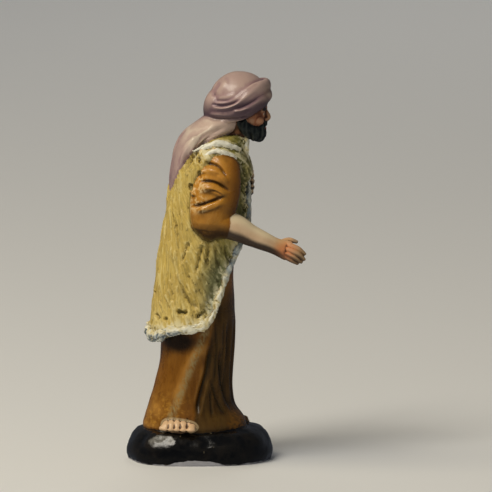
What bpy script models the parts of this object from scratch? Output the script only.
# Nativity shepherd figurine: one clay casting with its mound, about 81 mm tall.
# Metres, +Z up. The shepherd faces +X and has its right hand side at -Y.
# The origin is under the middle of the mound, on the surface that it stands on.

import math

import bmesh
import bpy
import numpy as np
from mathutils import Euler, Matrix, Vector

mm = 0.001

# Driving sizes
figureTall = 74 * mm
moundLength = 30 * mm
moundWidth = 24 * mm
moundHeight = 7 * mm
moundFootInset = 0.5 * mm
clayGrain = 0.36 * mm
facetTarget = 9200

# The pose and the carving are written in 74ths of the figure's own height,
# with heights counted up from the mound's top.
unit = figureTall / 74

rightSide, leftSide = -1, 1


# Curves and shapes


def throughKnots(rows, at):
    """Values at the positions given, on a smooth curve through rows of (position, value, value, ...)."""
    rows = np.array(rows, float)
    at = np.atleast_1d(np.asarray(at, float))
    position, value = rows[:, 0], rows[:, 1:]
    slope = np.gradient(value, position, axis=0)
    i = np.clip(np.searchsorted(position, at) - 1, 0, len(position) - 2)
    step = (position[i + 1] - position[i])[:, None]
    t = np.clip((at - position[i])[:, None] / step, 0, 1)
    start = (1 + 2 * t) * (1 - t) ** 2 * value[i] + t * (1 - t) ** 2 * step * slope[i]
    end = t * t * (3 - 2 * t) * value[i + 1] + t * t * (t - 1) * step * slope[i + 1]
    return start + end


def place(points):
    """Figure units to metres, standing on the mound."""
    return np.asarray(points, float) * unit + (0, 0, moundHeight)


def closedMesh(name, points, faces):
    mesh = bpy.data.meshes.new(name)
    mesh.from_pydata([tuple(p) for p in points], [], faces)
    shape = bmesh.new()
    shape.from_mesh(mesh)
    bmesh.ops.recalc_face_normals(shape, faces=shape.faces)
    shape.to_mesh(mesh)
    shape.free()
    form = bpy.data.objects.new(name, mesh)
    bpy.context.scene.collection.objects.link(form)
    return form


def ringsToForm(name, rings):
    """A closed form through rings of points, capped by a fan at each end."""
    rings = np.asarray(rings)
    count, around = rings.shape[:2]
    points = np.vstack([rings.reshape(-1, 3), rings[0].mean(0), rings[-1].mean(0)])
    first, last = count * around, count * around + 1
    faces = []
    for k in range(around):
        turn = (k + 1) % around
        faces.append((first, turn, k))
        faces.append((last, (count - 1) * around + k, (count - 1) * around + turn))
        for r in range(count - 1):
            low, high = r * around, (r + 1) * around
            faces.append((low + k, low + turn, high + turn, high + k))
    return closedMesh(name, points, faces)


def sectionPoint(section, angle):
    """A point of an upright form's outline: (back, front, half width), and the angle from the front."""
    back, front, halfWidth = section
    middle, halfDepth = (front + back) / 2, (front - back) / 2
    return middle + halfDepth * math.cos(angle), halfWidth * math.sin(angle)


def standingForm(name, rows, rings=60, around=72):
    """An upright form from rows of (height, back, front, half width)."""
    heights = np.linspace(rows[0][0], rows[-1][0], rings)
    sections = throughKnots(rows, heights)
    angles = np.linspace(0, 2 * math.pi, around, endpoint=False)
    layers = [
        [(*sectionPoint(section, a), z) for a in angles]
        for z, section in zip(heights, sections)
    ]
    return ringsToForm(name, place(layers))


domeAngles = np.radians([24, 48, 72])


def limb(name, rows, across=(1, 0, 0), around=20, spacing=0.7):
    """A round or oval tube through rows of (x, y, z, radius across, other radius), with domed ends."""
    rows = np.array(rows, float)
    run = np.concatenate([[0], np.cumsum(np.linalg.norm(np.diff(rows[:, :3], axis=0), axis=1))])
    at = np.linspace(0, run[-1], max(4, int(run[-1] / spacing)))
    line = throughKnots(np.column_stack([run, rows]), at)
    centres, radii = line[:, :3], line[:, 3:]
    tangents = np.gradient(centres, at, axis=0)
    tangents /= np.linalg.norm(tangents, axis=1)[:, None]
    stations = list(zip(centres, tangents, radii))
    for angle in domeAngles:
        for end, outward in ((0, -1), (-1, 1)):
            domed = (
                centres[end] + outward * tangents[end] * radii[end].min() * math.sin(angle),
                tangents[end],
                radii[end] * math.cos(angle),
            )
            stations.insert(0 if end == 0 else len(stations), domed)
    angles = np.linspace(0, 2 * math.pi, around, endpoint=False)
    rings = []
    for centre, tangent, (wide, thick) in stations:
        side = np.array(across, float) - np.dot(across, tangent) * tangent
        side /= np.linalg.norm(side)
        other = np.cross(tangent, side)
        rings.append([centre + wide * math.cos(a) * side + thick * math.sin(a) * other for a in angles])
    return ringsToForm(name, place(rings))


def blob(name, centre, radii, turn=(0, 0, 0)):
    """An egg of clay in figure units, turned by the degrees given about X, Y and Z."""
    mesh = bpy.data.meshes.new(name)
    shape = bmesh.new()
    bmesh.ops.create_uvsphere(shape, u_segments=32, v_segments=20, radius=1)
    shape.transform(
        Matrix.Translation(Vector(place(centre)))
        @ Euler([math.radians(a) for a in turn]).to_matrix().to_4x4()
        @ Matrix.Diagonal((*(r * unit for r in radii), 1))
    )
    shape.to_mesh(mesh)
    shape.free()
    form = bpy.data.objects.new(name, mesh)
    bpy.context.scene.collection.objects.link(form)
    return form


# Mound

moundProfile = [
    (0.0, -moundFootInset),
    (0.2, 0.0),
    (0.42, -0.3 * mm),
    (0.63, -0.8 * mm),
    (0.81, -1.5 * mm),
    (0.93, -2.5 * mm),
    (1.0, -4.2 * mm),
]
# How many waves each lobe makes round the outline, its size and where it starts in degrees
moundLobes = [(3, 0.3 * mm, 40), (5, 0.25 * mm, 110), (2, 0.3 * mm, 20)]
moundLobeMargin = 0.1 * mm
moundSquareness = 2.3
# Soft lumps of its side: where round it in degrees, height share, half width in degrees,
# half height as a share, and how far each stands out
moundLumps = [
    (-120, 0.68, 19, 0.26, 1.3 * mm),
    (-74, 0.52, 20, 0.24, 0.9 * mm),
    (-36, 0.7, 15, 0.26, 0.8 * mm),
    (34, 0.66, 20, 0.24, 0.5 * mm),
    (72, 0.6, 19, 0.28, 1.0 * mm),
    (118, 0.74, 20, 0.24, 1.1 * mm),
    (-160, 0.42, 16, 0.24, 0.5 * mm),
]


def lumpRelief(angles, share):
    """How far the mound's lumps stand out round it, at a share of its height."""
    relief = np.zeros(len(angles))
    for degrees, level, halfWidth, halfHeight, size in moundLumps:
        turn = (np.degrees(angles) - degrees + 180) % 360 - 180
        relief += size * np.exp(-((turn / halfWidth) ** 2) - ((share - level) / halfHeight) ** 2)
    return relief


def mound():
    """The rounded ground that the figure is cast on, with a slightly uneven outline."""
    angles = np.linspace(0, 2 * math.pi, 96, endpoint=False)
    lobes = sum(size * np.cos(count * angles - math.radians(start)) for count, size, start in moundLobes)
    roundness = 2 / moundSquareness
    ringX = np.sign(np.cos(angles)) * np.abs(np.cos(angles)) ** roundness
    ringY = np.sign(np.sin(angles)) * np.abs(np.sin(angles)) ** roundness
    rings = []
    shares = np.linspace(0, 1, 21)
    for share, inset in zip(shares, throughKnots(moundProfile, shares)[:, 0]):
        reach = inset - moundLobeMargin + lobes * (1 - share / 2) + lumpRelief(angles, share)
        x = ringX * (moundLength / 2 + reach)
        y = ringY * (moundWidth / 2 + reach)
        rings.append(np.column_stack([x, y, np.full(len(angles), share * moundHeight)]))
    return ringsToForm("mound", rings)


# Tunic, with its skirt

tunicRows = [
    (-2.0, -10.8, 8.0, 8.6),
    (0.3, -11.7, 9.9, 9.5),
    (2.2, -11.3, 9.2, 9.3),
    (4.0, -10.9, 7.8, 9.0),
    (7.5, -9.8, 7.1, 8.5),
    (11.0, -8.9, 7.1, 8.2),
    (15.0, -8.1, 7.4, 8.1),
    (20.0, -7.8, 7.7, 8.3),
    (26.0, -7.8, 7.4, 8.4),
    (33.0, -7.4, 7.2, 8.4),
    (40.0, -6.6, 8.4, 8.6),
    (47.0, -5.2, 9.4, 9.0),
    (53.0, -4.4, 9.4, 9.2),
    (57.0, -3.6, 9.0, 8.0),
    (59.5, -1.6, 8.6, 5.4),
    (61.2, 1.0, 8.2, 3.2),
]

# Fleece waistcoat, open down the front

vestRows = [
    (17.0, -9.2, 9.0, 9.3),
    (19.0, -9.9, 9.3, 9.8),
    (21.5, -10.4, 9.4, 10.0),
    (24.0, -9.9, 9.3, 9.7),
    (28.0, -9.4, 9.0, 9.4),
    (33.0, -8.9, 8.9, 9.3),
    (38.0, -8.2, 9.6, 9.4),
    (43.0, -7.2, 10.6, 9.6),
    (48.0, -6.4, 10.5, 9.8),
    (52.0, -5.9, 10.4, 9.9),
    (55.0, -5.4, 10.1, 9.9),
    (57.5, -4.6, 10.0, 9.3),
    (59.0, -3.6, 10.0, 8.2),
    (60.3, -2.2, 10.0, 6.2),
    (61.2, -0.6, 9.2, 4.2),
]
vestFrontEdge = [
    (17, 84),
    (22, 78),
    (25, 69),
    (29.5, 57),
    (33.7, 46),
    (37, 36),
    (40, 26),
    (44, 19),
    (50, 16),
    (56, 17),
    (61.2, 22),
]
vestHem = [(60, 23.6), (76, 22.8), (88, 21.1), (105, 20.7), (124, 20.2), (150, 18.7), (180, 19.2)]
vestTop = 61.0
vestWall = 3.2
vestMiddleX = 0.6
edgeWave, edgeWaveLength = 1.1, 5.2
# Broad locks of the fleece: their size, how far they stand out, and how far they lean as they fall
lockWidth, lockLength, lockDepth, lockLean = 3.2, 8.6, 0.34, 0.24


def lockRelief(point):
    """How far the fleece stands out at a point: rows of locks, each fullest at its lower end."""
    x, y, height = point
    around = math.atan2(y, x - vestMiddleX) * math.hypot(x - vestMiddleX, y)
    lean = lockLean * height * (1 if y > 0 else -1) + 0.5 * math.sin(height / 3)
    column = (around + lean) / lockWidth
    row = height / lockLength + 0.37 * (math.floor(column) % 3)
    ridge = 1 - abs(2 * (column % 1) - 1) ** 1.6
    return lockDepth * ridge * (1 - 0.7 * (row % 1))


def vestPoint(across, up):
    """A point of the waistcoat. Across runs from -1, its right front edge, round the back to 1 at the
    left one, and up runs from hem to collar."""
    hemAngle = 180 - (180 - vestFrontEdge[1][1]) * abs(across)
    hem = throughKnots(vestHem, hemAngle)[0, 0]
    height = hem + up * (vestTop - hem)
    wave = edgeWave * math.sin(math.tau * height / edgeWaveLength)
    edge = throughKnots(vestFrontEdge, height)[0, 0] + wave
    angle = math.radians(180 - (180 - edge) * abs(across)) * (-1 if across < 0 else 1)
    x, y = sectionPoint(throughKnots(vestRows, height)[0], angle)
    return np.array((x, y, height))


def vest(acrossCount=150, upCount=110):
    across, up = np.linspace(-1, 1, acrossCount), np.linspace(0, 1, upCount)
    base = np.array([[vestPoint(s, t) for s in across] for t in up])
    middle = base * (0, 0, 1) + (vestMiddleX, 0, 0)
    inward = middle - base
    reach = np.linalg.norm(inward, axis=-1, keepdims=True)
    inward /= reach
    relief = np.apply_along_axis(lockRelief, -1, base)[..., None]
    outer = base - inward * (relief - lockDepth / 2)
    inner = base + inward * np.minimum(vestWall, reach * 0.8)
    grid = np.stack([outer, inner])
    index = np.arange(grid[..., 0].size).reshape(grid.shape[:3])
    faces = []
    for side in (0, 1):
        for r in range(upCount - 1):
            for c in range(acrossCount - 1):
                corners = ((r, c), (r, c + 1), (r + 1, c + 1), (r + 1, c))
                faces.append(tuple(int(index[side, i, j]) for i, j in corners))
    for edge in (index[:, 0, :], index[:, -1, :], index[:, :, 0], index[:, :, -1]):
        for k in range(edge.shape[1] - 1):
            faces.append((int(edge[0, k]), int(edge[0, k + 1]), int(edge[1, k + 1]), int(edge[1, k])))
    return closedMesh("vest", place(grid.reshape(-1, 3)), faces)


rollRadius, rollSwell = 0.85, 0.2


def edgeRoll():
    """The rolled wool along the waistcoat's front edges and its hem."""
    path = [vestPoint(-1, t) for t in np.linspace(0.97, 0.04, 22)]
    path += [vestPoint(s, 0.012) for s in np.linspace(-0.97, 0.97, 30)]
    path += [vestPoint(1, t) for t in np.linspace(0.04, 0.97, 22)]
    radii = [rollRadius + rollSwell * math.sin(2.1 * k) for k in range(len(path))]
    rows = [(*p, r, r) for p, r in zip(path, radii)]
    return limb("edge_roll", rows, across=(0.31, 0.22, 0.92), around=14)


# The fleece over the shoulder, from the back to the chest
shoulderRows = [
    (-2.8, 5.0, 54.4, 1.6, 2.6),
    (0.6, 6.0, 56.0, 2.7, 3.3),
    (4.2, 6.2, 56.1, 3.1, 3.7),
    (7.4, 5.4, 54.8, 2.6, 3.4),
    (9.2, 4.0, 52.6, 1.5, 2.6),
]
armholeOuter = [
    (-0.9, 8.3, 57.2, 0.4),
    (0.8, 8.0, 58.6, 0.6),
    (3.0, 7.7, 59.2, 0.68),
    (5.4, 7.5, 58.9, 0.68),
    (7.6, 6.9, 57.5, 0.6),
    (8.9, 5.9, 55.6, 0.4),
]
armholeInner = [
    (0.2, 9.0, 57.2, 0.35),
    (2.4, 9.1, 58.0, 0.48),
    (4.9, 9.0, 57.7, 0.52),
    (7.0, 8.3, 56.3, 0.48),
    (8.3, 7.1, 54.5, 0.35),
]


def armholes():
    """The fleece over each shoulder, and two rolls of wool round the top of each armhole."""
    made = []
    for side in (rightSide, leftSide):
        over = [(x, side * y, z, wide, thick) for x, y, z, wide, thick in shoulderRows]
        made.append(limb(f"shoulder_{side}", over, across=(0, side, 0.45)))
        for name, rows in (("outer", armholeOuter), ("inner", armholeInner)):
            path = [(x, side * y, z, r, r) for x, y, z, r in rows]
            made.append(limb(f"armhole_{name}_{side}", path, across=(0, 1, 0.2), around=14))
    return made


# Sleeves, arms and hands

sleeveRows = [
    (4.7, 7.7, 54.9, 3.9, 3.0),
    (4.3, 8.6, 52.6, 4.5, 3.2),
    (3.5, 9.1, 49.0, 5.0, 3.3),
    (2.8, 9.4, 45.6, 4.6, 3.3),
    (2.6, 9.4, 43.6, 4.2, 3.3),
]
rightCuffRows = [
    (2.6, -9.4, 43.8, 4.2, 3.2),
    (4.0, -9.4, 43.6, 3.7, 3.1),
    (5.3, -9.4, 43.2, 3.1, 2.8),
]
rightForearmRows = [
    (4.5, -9.5, 43.6, 2.8, 2.5),
    (7.5, -9.4, 42.6, 2.8, 2.4),
    (10.6, -9.1, 41.0, 2.25, 2.0),
    (13.4, -8.9, 39.7, 1.95, 1.7),
    (16.2, -8.3, 38.4, 1.72, 1.2),
    (18.0, -8.1, 37.7, 2.0, 0.95),
]
# Each finger: knuckle, middle joint and tip
rightFingers = [
    [(18.6, -8.5, 39.1), (20.6, -8.4, 38.2), (22.2, -7.9, 37.3)],
    [(18.7, -8.6, 38.1), (20.9, -8.6, 37.0), (22.6, -8.1, 36.0)],
    [(18.4, -8.4, 37.0), (20.5, -8.3, 35.9), (22.1, -7.8, 35.0)],
    [(17.8, -8.1, 36.1), (19.7, -7.9, 35.1), (21.0, -7.4, 34.4)],
]
rightThumb = [(15.8, -7.3, 39.3), (17.1, -6.8, 39.9), (18.5, -6.7, 39.8)]
leftCuffRows = [
    (2.6, 9.4, 43.8, 4.0, 3.2),
    (4.3, 9.7, 44.2, 3.6, 3.1),
    (5.9, 9.5, 45.0, 3.0, 2.8),
]
leftForearmRows = [
    (4.4, 9.7, 43.9, 2.7, 2.5),
    (7.2, 9.4, 45.6, 2.4, 2.3),
    (9.0, 8.2, 47.4, 1.9, 1.8),
    (9.8, 6.2, 48.9, 1.6, 1.3),
    (10.2, 4.6, 49.8, 1.9, 1.0),
]
leftFingers = [
    [(10.5, 4.0, 51.0), (11.0, 2.2, 52.0), (11.0, 0.8, 52.7)],
    [(10.5, 3.8, 50.1), (11.1, 1.8, 50.9), (11.1, 0.2, 51.4)],
    [(10.5, 3.8, 49.1), (11.1, 1.8, 49.7), (11.1, 0.4, 50.1)],
    [(10.4, 4.0, 48.2), (10.9, 2.3, 48.6), (10.9, 1.1, 48.8)],
]
leftThumb = [(10.3, 5.0, 50.8), (10.8, 3.9, 52.1), (11.0, 2.7, 53.0)]
fingerRadius = 0.52
fingerTaper = (1.12, 1.04, 0.86)


def fingers(side, digits, thumb):
    made = []
    for k, path in enumerate([*digits, thumb]):
        radii = [fingerRadius * taper for taper in fingerTaper]
        rows = [(*p, r, r) for p, r in zip(path, radii)]
        made.append(limb(f"finger_{side}_{k}", rows, across=(0, 1, 0.1), around=12, spacing=0.4))
    return made


def arms():
    made = [
        limb(f"sleeve_{side}", [(x, side * y, z, wide, thick) for x, y, z, wide, thick in sleeveRows])
        for side in (rightSide, leftSide)
    ]
    made.append(limb("cuff_right", rightCuffRows, across=(0, 0, 1)))
    made.append(limb("forearm_right", rightForearmRows, across=(0, 0, 1)))
    made.append(limb("cuff_left", leftCuffRows, across=(0, 0, 1)))
    made.append(limb("forearm_left", leftForearmRows, across=(0, 0, 1)))
    made += fingers("right", rightFingers, rightThumb)
    made += fingers("left", leftFingers, leftThumb)
    return made


# Feet

# The place of each heel, the foot's heading in degrees and the side of its big toe
rightFoot = ((-3.9, -4.3, 1.1), -92, 1)
leftFoot = ((3.6, 4.6, 1.0), 14, -1)
# Along the foot from the heel: how far, how far down, half width and half thickness
footRows = [(0.0, 0.0, 2.8, 2.0), (2.5, 0.0, 3.3, 1.9), (4.4, 0.15, 3.4, 1.25)]
toeWidths = [1.75, 1.4, 1.3, 1.25, 1.15]
toeLength, toeShortening, toeDrop, toeArch = 2.3, 0.3, 0.6, 0.12
toeRootBack, toeRootLift = 0.6, 0.1
toeThickness = (0.85, 0.75, 0.6)


def foot(name, heel, heading, bigToeSide):
    """A foot under the hem. Its heading is in degrees, and its big toe's side is 1 or -1."""
    ahead = np.array((math.cos(math.radians(heading)), math.sin(math.radians(heading)), 0))
    across = np.array((-ahead[1], ahead[0], 0)) * bigToeSide
    heel = np.array(heel, float)
    instep = [(*(heel + ahead * far - (0, 0, down)), wide, thick) for far, down, wide, thick in footRows]
    ball = np.array(instep[-1][:3])
    made = [limb(f"{name}_instep", instep, across=tuple(across))]
    edge = sum(toeWidths) / 2
    for k, width in enumerate(toeWidths):
        middle = across * (edge - width / 2)
        edge -= width
        root = ball + middle - ahead * toeRootBack + (0, 0, toeRootLift)
        tip = ball + middle + ahead * (toeLength - toeShortening * k) - (0, 0, toeDrop)
        joint = (root + tip) / 2 + (0, 0, toeArch)
        rows = [(*p, width / 2, thick) for p, thick in zip((root, joint, tip), toeThickness)]
        made.append(limb(f"{name}_toe_{k}", rows, across=tuple(across), around=12, spacing=0.4))
    return made


# Head, beard and headdress

headRows = [
    (60.2, 3.6, 10.6, 2.6),
    (61.6, 4.6, 12.6, 3.3),
    (63.4, 5.2, 13.5, 4.0),
    (65.5, 5.0, 13.9, 4.3),
    (67.6, 4.8, 13.7, 4.3),
    (70.5, 5.0, 12.8, 3.9),
]
noseRows = [
    (13.45, 0, 66.3, 0.5, 0.5),
    (13.95, 0, 65.3, 0.52, 0.6),
    (14.3, 0, 64.4, 0.62, 0.6),
    (13.75, 0, 64.0, 0.8, 0.5),
]
neckRows = [(4.6, 0, 56.5, 3.4, 3.4), (6.0, 0, 59.5, 3.0, 3.0), (8.0, 0, 63.5, 3.0, 3.0)]
browRows = [(13.0, -2.6, 66.2, 0.5, 0.5), (13.7, 0, 66.5, 0.55, 0.5), (13.0, 2.6, 66.2, 0.5, 0.5)]
moustacheRows = [(13.0, -1.9, 62.6, 0.5, 0.45), (13.75, 0, 63.15, 0.5, 0.5), (13.0, 1.9, 62.6, 0.5, 0.45)]
# The beard, from the right ear round under the chin to the left ear
beardRows = [
    (8.7, -3.6, 65.0, 0.9, 0.6),
    (9.4, -3.5, 63.3, 1.3, 0.9),
    (10.6, -2.7, 62.0, 1.6, 1.3),
    (12.0, -1.3, 61.4, 1.75, 1.5),
    (12.5, 0.0, 61.3, 1.8, 1.5),
    (12.0, 1.3, 61.4, 1.75, 1.5),
    (10.6, 2.7, 62.0, 1.6, 1.3),
    (9.4, 3.5, 63.3, 1.3, 0.9),
    (8.7, 3.6, 65.0, 0.9, 0.6),
]
headBlobs = [
    ("turban_crown", (8.4, 0, 68.6), (6.1, 5.4, 5.45), (0, -6, 0)),
    ("turban_back", (3.4, 0, 67.0), (2.7, 4.0, 3.9), (0, 12, 0)),
    ("turban_front", (13.0, 0, 69.4), (2.3, 3.4, 2.0), (0, 20, 0)),
]
turbanLoops = [
    # centre x, centre height, half length, half width, rise to the front in degrees, roll radius
    (7.9, 66.9, 6.0, 4.9, 14, 1.45),
    (8.1, 68.4, 5.8, 4.9, 20, 1.35),
]
headclothRows = [
    (48.6, -6.1, -5.2, 1.6),
    (50.0, -6.3, -4.2, 3.4),
    (52.5, -6.4, -2.8, 5.6),
    (56.0, -6.2, -0.6, 7.3),
    (58.5, -5.7, 1.8, 7.7),
    (60.3, -4.8, 4.6, 7.2),
    (61.8, -3.4, 7.6, 6.2),
    (63.2, -1.8, 9.0, 5.3),
    (65.0, -0.2, 9.6, 4.9),
]


def turbanLoop(k, x, height, halfLength, halfWidth, rise, radius):
    slope = math.tan(math.radians(rise))
    turns = np.linspace(0, 2 * math.pi, 33)
    rows = [
        (
            x + halfLength * math.cos(a),
            halfWidth * math.sin(a),
            height + slope * halfLength * math.cos(a),
            radius,
            radius * 0.9,
        )
        for a in turns
    ]
    return limb(f"turban_wrap_{k}", rows, across=(0.1, 0, 1), around=16)


def head():
    made = [
        limb("neck", neckRows),
        standingForm("face", headRows, rings=24, around=40),
        limb("nose", noseRows, across=(0, 1, 0), around=12, spacing=0.4),
        limb("brow", browRows, across=(0, 0, 1)),
        limb("moustache", moustacheRows, across=(0, 0, 1)),
        limb("beard", beardRows, across=(0, 0, 1)),
        standingForm("headcloth", headclothRows, rings=40),
    ]
    made += [blob(*form) for form in headBlobs]
    made += [turbanLoop(k, *loop) for k, loop in enumerate(turbanLoops)]
    return made


# Strokes pressed into the clay with a round tool: their side, how deep, how wide, and their path.
# A path is (x, height) on the right and left sides and (y, height) on the front and back.
# Each stroke runs out over this share of its length at either end.
strokeTaper = 0.28
strokes = [
    # Skirt, right side: the leg's ridge, the deep fold beside it and the forked fold by the foot
    ("right", -0.8, 1.7, [(1.4, 20.0), (-1.2, 15.0), (-3.3, 9.5), (-5.2, 3.0)]),
    ("right", 0.9, 0.75, [(2.4, 20.0), (1.6, 13.0), (0.0, 7.0), (-0.7, 2.8)]),
    ("right", 0.8, 0.7, [(4.6, 18.0), (4.9, 11.5), (6.0, 6.5), (7.6, 3.2)]),
    ("right", -0.4, 0.6, [(1.9, 11.0), (0.8, 6.5), (-0.1, 2.6)]),
    ("right", 0.5, 0.6, [(2.3, 11.0), (3.8, 6.5), (5.6, 3.2)]),
    ("right", 0.6, 0.6, [(6.3, 24.0), (6.2, 14.0), (5.9, 7.0)]),
    ("right", 0.45, 0.9, [(-6.2, 18.0), (-7.6, 10.0), (-9.0, 4.0)]),
    # Skirt, front, back and left side
    ("front", 0.7, 0.8, [(-2.4, 24.0), (-2.0, 12.0), (-1.2, 3.0)]),
    ("front", 0.7, 0.8, [(1.4, 27.0), (1.0, 15.0), (2.2, 4.0)]),
    ("front", 0.6, 0.7, [(4.6, 24.0), (4.2, 14.0), (5.6, 4.5)]),
    ("back", 0.6, 0.9, [(-3.6, 17.0), (-3.9, 8.0), (-4.8, 2.0)]),
    ("back", 0.6, 0.9, [(0.4, 17.0), (0.2, 8.0), (0.6, 2.0)]),
    ("back", 0.6, 0.9, [(4.2, 17.0), (4.4, 8.0), (5.2, 2.0)]),
    ("left", 0.6, 0.8, [(2.8, 21.0), (2.4, 12.0), (3.4, 4.0)]),
    ("left", 0.6, 0.9, [(-1.6, 19.0), (-2.4, 10.0), (-3.2, 3.0)]),
    ("left", 0.5, 0.9, [(-5.8, 18.0), (-6.9, 9.0), (-8.0, 3.0)]),
    # Sleeves
    ("right", 0.9, 0.55, [(1.6, 56.6), (4.8, 55.9), (7.2, 52.9)]),
    ("right", 0.9, 0.55, [(0.5, 52.6), (4.0, 52.1), (7.0, 49.7)]),
    ("right", 0.8, 0.5, [(-0.6, 46.2), (2.2, 47.4), (5.0, 49.1)]),
    ("right", -0.5, 1.0, [(0.0, 54.6), (3.4, 54.2), (6.6, 51.6)]),
    ("right", -0.5, 1.0, [(-1.0, 50.4), (2.4, 50.2), (6.0, 48.6)]),
    ("left", 0.7, 0.6, [(1.6, 56.0), (4.6, 55.2), (6.8, 52.8)]),
    ("left", 0.7, 0.6, [(0.6, 51.8), (3.6, 51.0), (6.2, 49.0)]),
    ("left", 0.6, 0.55, [(-0.2, 46.0), (2.4, 46.8), (4.8, 48.2)]),
    # Waistcoat: the pull of the fleece under the arm, and a few deeper dents
    ("right", 0.55, 0.6, [(0.9, 39.5), (0.2, 36.0), (-0.6, 32.5)]),
    ("right", 0.5, 0.55, [(3.4, 39.5), (3.2, 36.0), (3.9, 32.6)]),
    ("right", 0.5, 0.6, [(-4.0, 31.0), (-2.2, 27.5), (0.4, 25.4)]),
    ("left", 0.5, 0.6, [(2.6, 38.5), (2.0, 34.5), (2.8, 30.5)]),
    ("left", 0.5, 0.6, [(-5.6, 36.0), (-5.0, 30.0), (-3.2, 25.0)]),
    ("back", 0.5, 0.6, [(0.8, 42.0), (0.2, 34.0), (1.4, 25.0)]),
    # Headcloth and turban
    ("right", 0.5, 0.6, [(6.8, 63.2), (2.6, 61.6), (-1.0, 57.4), (-3.2, 53.6)]),
    ("left", 0.5, 0.6, [(6.8, 63.2), (2.6, 61.4), (-1.2, 57.0), (-3.4, 53.2)]),
    ("back", 0.5, 0.7, [(-1.2, 62.6), (-2.2, 57.5), (-1.2, 51.5)]),
    ("back", 0.5, 0.7, [(2.0, 62.4), (3.2, 57.0), (2.0, 51.8)]),
    ("right", 0.9, 0.5, [(1.6, 67.2), (5.0, 67.3), (8.6, 68.8), (13.2, 71.4)]),
    ("left", 0.9, 0.5, [(1.6, 67.2), (5.0, 67.3), (8.6, 68.8), (13.2, 71.4)]),
    ("right", 0.6, 0.45, [(5.0, 65.7), (9.0, 66.6), (12.9, 69.0)]),
    ("left", 0.6, 0.45, [(5.0, 65.7), (9.0, 66.6), (12.9, 69.0)]),
    ("right", 0.6, 0.55, [(0.4, 64.9), (3.6, 64.4), (8.0, 64.9)]),
    ("left", 0.6, 0.55, [(0.4, 64.9), (3.6, 64.4), (8.0, 64.9)]),
    ("back", 0.6, 0.55, [(-4.6, 67.0), (-1.0, 65.4), (3.4, 66.6)]),
]
facing = {"right": (0, -1), "left": (0, 1), "front": (1, 0), "back": (-1, 0)}
# A stroke presses only what lies this far out from the middle, on its own side
strokeReach = 1.5


def alongPath(points, path):
    """How far each point lies from a path in its plane, and how far along the path, as a share."""
    least, share = np.full(len(points), np.inf), np.zeros(len(points))
    for k, (start, end) in enumerate(zip(path[:-1], path[1:])):
        run = end - start
        t = np.clip((points - start) @ run / (run @ run), 0, 1)
        distance = np.linalg.norm(points - start - t[:, None] * run, axis=1)
        nearer = distance < least
        least[nearer], share[nearer] = distance[nearer], (k + t[nearer]) / (len(path) - 1)
    return least, share


def pressStrokes(mesh):
    """Presses each stroke inwards along the surface's own normals; a negative depth raises a ridge."""
    count = len(mesh.vertices)
    points, normals = np.empty(count * 3), np.empty(count * 3)
    mesh.vertices.foreach_get("co", points)
    mesh.vertices.foreach_get("normal", normals)
    points, normals = points.reshape(-1, 3), normals.reshape(-1, 3)
    figure = (points - (0, 0, moundHeight)) / unit
    sunk = np.zeros(count)
    for side, depth, width, path in strokes:
        ahead = facing[side]
        plane = figure[:, [1, 2]] if ahead[0] else figure[:, [0, 2]]
        knots = np.column_stack([np.arange(len(path)), path])
        distance, share = alongPath(plane, throughKnots(knots, np.linspace(0, len(path) - 1, 14)))
        ends = np.clip(np.minimum(share, 1 - share) / strokeTaper, 0, 1)
        ends *= ends * (3 - 2 * ends)
        turned = np.clip((normals[:, :2] @ ahead) * 1.6, 0, 1)
        beyond = figure[:, :2] @ ahead > strokeReach
        sunk += depth * np.exp(-((distance / width) ** 2)) * ends * turned * beyond
    points -= normals * (sunk * unit)[:, None]
    mesh.vertices.foreach_set("co", points.ravel())
    mesh.update()


# One casting


def evaluated(form):
    """The form's mesh with its modifiers worked out, as a mesh of its own."""
    return bpy.data.meshes.new_from_object(form.evaluated_get(bpy.context.evaluated_depsgraph_get()))


def fuse(name, forms):
    """The forms as one mesh with a single skin."""
    joined = bmesh.new()
    for form in forms:
        joined.from_mesh(form.data)
        bpy.data.objects.remove(form)
    mesh = bpy.data.meshes.new(name)
    joined.to_mesh(mesh)
    joined.free()
    casting = bpy.data.objects.new(name, mesh)
    bpy.context.scene.collection.objects.link(casting)
    skin = casting.modifiers.new("skin", "REMESH")
    skin.mode = "VOXEL"
    skin.voxel_size = clayGrain
    rub = casting.modifiers.new("rub", "SMOOTH")
    rub.factor, rub.iterations = 0.5, 2
    casting.data = evaluated(casting)
    casting.modifiers.clear()
    return casting


def flattenUnderside(mesh):
    """The underside is ground flat, so that the figure stands on a real face."""
    for vertex in mesh.vertices:
        if vertex.co.z < clayGrain * 0.9:
            vertex.co.z = 0


def clayMaterial():
    paint = bpy.data.materials.new("painted_clay")
    paint.use_nodes = True
    shader = paint.node_tree.nodes["Principled BSDF"]
    shader.inputs["Base Color"].default_value = (0.42, 0.27, 0.09, 1)
    shader.inputs["Roughness"].default_value = 0.42
    shader.inputs["Metallic"].default_value = 0.0
    return paint


def build():
    for old in list(bpy.data.objects):
        bpy.data.objects.remove(old)
    forms = [mound(), standingForm("tunic", tunicRows), vest(), edgeRoll()]
    forms += armholes() + arms() + head()
    forms += foot("foot_right", *rightFoot) + foot("foot_left", *leftFoot)
    casting = fuse("shepherd_figurine", forms)
    pressStrokes(casting.data)
    flattenUnderside(casting.data)
    fewer = casting.modifiers.new("facets", "DECIMATE")
    fewer.ratio = facetTarget / (2 * len(casting.data.polygons))
    casting.data.materials.append(clayMaterial())


build()
